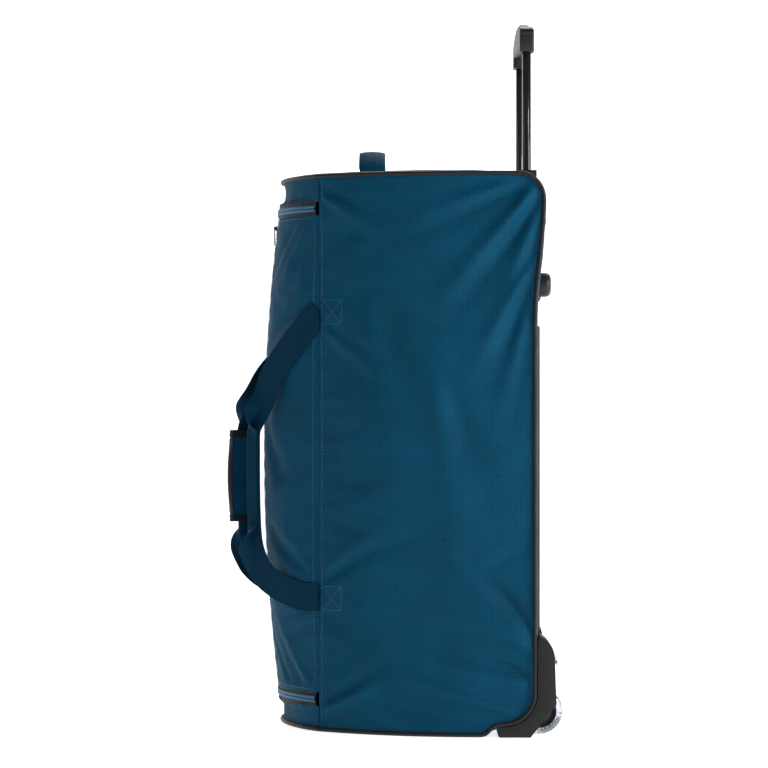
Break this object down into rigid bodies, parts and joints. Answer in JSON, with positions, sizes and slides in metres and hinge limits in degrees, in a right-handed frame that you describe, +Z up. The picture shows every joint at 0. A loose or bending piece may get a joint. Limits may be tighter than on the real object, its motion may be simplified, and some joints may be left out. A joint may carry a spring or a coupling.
{
  "type": "rolling duffel bag",
  "caption": "Upright soft duffel bag with a telescoping trolley handle, corner wheels, zipped front doors, webbing carry handles and a top haul handle.",
  "frame": {"origin": "on the floor under the centre of the bag's box", "axes": "+Z up with the bag standing on its bottom end, +Y towards the back with the trolley and wheels, +X towards the bag's right side"},
  "size_m": [0.3914, 0.4659, 0.982],
  "materials": {
    "shell_fabric": "woven polyester, matt",
    "zip": "woven tape with nylon coil",
    "webbing": "ribbed polyester webbing",
    "wrap": "padded, bound ends",
    "piping": "soft vinyl, satin",
    "hard_plastic": "fine texture",
    "button": "satin",
    "tube": "black anodised",
    "steel": "plain",
    "tyre": "clear polyurethane"
  },
  "bodies": {
    "bag": {"axle_left": "steel", "axle_right": "steel", "back_board": "hard_plastic", "back_feet": "hard_plastic", "back_panel": "shell_fabric", "bottom_end_panel": "shell_fabric", "edge_piping_left": "piping", "edge_piping_right": "piping", "foot_screws": "steel", "front_strip_lower": "shell_fabric", "front_strip_upper": "shell_fabric", "handle_sewn_ends": "webbing", "haul_handle_pad": "shell_fabric", "haul_handle_webbing": "webbing", "housing_screws": "steel", "outer_tube_left": "tube", "outer_tube_right": "tube", "side_panel_left": "shell_fabric", "side_panel_right": "shell_fabric", "skid_rail_left": "hard_plastic", "skid_rail_right": "hard_plastic", "top_end_panel": "shell_fabric", "trolley_bezel": "hard_plastic", "trolley_lower_bracket": "hard_plastic", "wheel_housing_left": "hard_plastic", "wheel_housing_right": "hard_plastic", "zip_half_lower": "zip", "zip_half_upper": "zip"},
    "front_flap_right": {"front_flap_right": "shell_fabric", "zip_half_right": "zip"},
    "front_flap_left": {"front_flap_left": "shell_fabric", "zip_half_left": "zip", "zip_sliders": "steel"},
    "carry_handle_right": {"carry_handle_right": "webbing"},
    "carry_handle_left": {"carry_handle_left": "webbing", "grip_wrap": "wrap"},
    "trolley": {"inner_tube_right": "tube", "inner_tube_left": "tube", "grip_upper_shell": "hard_plastic", "grip_lower_shell": "hard_plastic", "latch_block_right": "hard_plastic", "latch_block_left": "hard_plastic"},
    "release_button": {"release_button": "button", "button_yoke": "hard_plastic", "push_rod_right": "steel", "push_rod_left": "steel", "button_spring": "steel"},
    "latch_pin_right": {"latch_pin_right": "steel", "latch_spring_right": "steel"},
    "latch_pin_left": {"latch_pin_left": "steel", "latch_spring_left": "steel"},
    "wheel_right": {"wheel_tyre_right": "tyre", "wheel_hub_right": "hard_plastic", "wheel_bearings_right": "steel"},
    "wheel_left": {"wheel_tyre_left": "tyre", "wheel_hub_left": "hard_plastic", "wheel_bearings_left": "steel"},
    "zip_pull_upper": {"zip_pull_upper": "steel"},
    "zip_pull_centre": {"zip_pull_centre": "steel"},
    "zip_pull_lower": {"zip_pull_lower": "steel"}
  },
  "joints": [
    {"name": "front_flap_right_hinge", "type": "hinge", "parent": "bag", "child": "front_flap_right", "pos_m": [0.128, -0.101, 0.38], "axis": [0, 0, 1], "range_deg": [0, 100]},
    {"name": "front_flap_left_hinge", "type": "hinge", "parent": "bag", "child": "front_flap_left", "pos_m": [-0.128, -0.101, 0.38], "axis": [0, 0, -1], "range_deg": [0, 100]},
    {"name": "carry_handle_right_swing", "type": "hinge", "parent": "front_flap_right", "child": "carry_handle_right", "pos_m": [0.12949, -0.1016, 0.38], "axis": [0, 0, -1], "range_deg": [-120, 0]},
    {"name": "carry_handle_left_swing", "type": "hinge", "parent": "front_flap_left", "child": "carry_handle_left", "pos_m": [-0.12949, -0.1016, 0.38], "axis": [0, 0, 1], "range_deg": [-120, 0]},
    {"name": "trolley_slide", "type": "slide", "parent": "bag", "child": "trolley", "axis": [0, 0, 1], "range_m": [-0.16, 0]},
    {"name": "release_button_press", "type": "slide", "parent": "trolley", "child": "release_button", "axis": [0, 0, -1], "range_m": [0, 0.004], "stiffness_N_per_m": 400, "springref_m": -0.005, "deforming": ["button_spring"]},
    {"name": "latch_pin_right_slide", "type": "slide", "parent": "trolley", "child": "latch_pin_right", "axis": [1, 0, 0], "range_m": [-0.003, 0], "deforming": ["latch_spring_right"]},
    {"name": "latch_pin_left_slide", "type": "slide", "parent": "trolley", "child": "latch_pin_left", "axis": [-1, 0, 0], "range_m": [-0.003, 0], "deforming": ["latch_spring_left"]},
    {"name": "wheel_right_spin", "type": "hinge", "parent": "bag", "child": "wheel_right", "pos_m": [0.154, 0.2, 0.032], "axis": [1, 0, 0], "continuous": true},
    {"name": "wheel_left_spin", "type": "hinge", "parent": "bag", "child": "wheel_left", "pos_m": [-0.154, 0.2, 0.032], "axis": [1, 0, 0], "continuous": true},
    {"name": "zip_pull_upper_swing", "type": "hinge", "parent": "front_flap_left", "child": "zip_pull_upper", "pos_m": [-0.0824, -0.14491, 0.712], "axis": [-0.8771, 0.4804, 0], "range_deg": [0, 150]},
    {"name": "zip_pull_centre_swing", "type": "hinge", "parent": "front_flap_left", "child": "zip_pull_centre", "pos_m": [-0.00519, -0.16712, 0.696], "axis": [-0.9995, 0.03, 0], "range_deg": [0, 150]},
    {"name": "zip_pull_lower_swing", "type": "hinge", "parent": "front_flap_left", "child": "zip_pull_lower", "pos_m": [-0.0824, -0.14491, 0.049], "axis": [-0.8771, 0.4804, 0], "range_deg": [0, 150]}
  ],
  "couplings": [
    {"joint": "latch_pin_right_slide", "follows": "release_button_press", "ratio": -0.75},
    {"joint": "latch_pin_left_slide", "follows": "release_button_press", "ratio": -0.75}
  ]
}
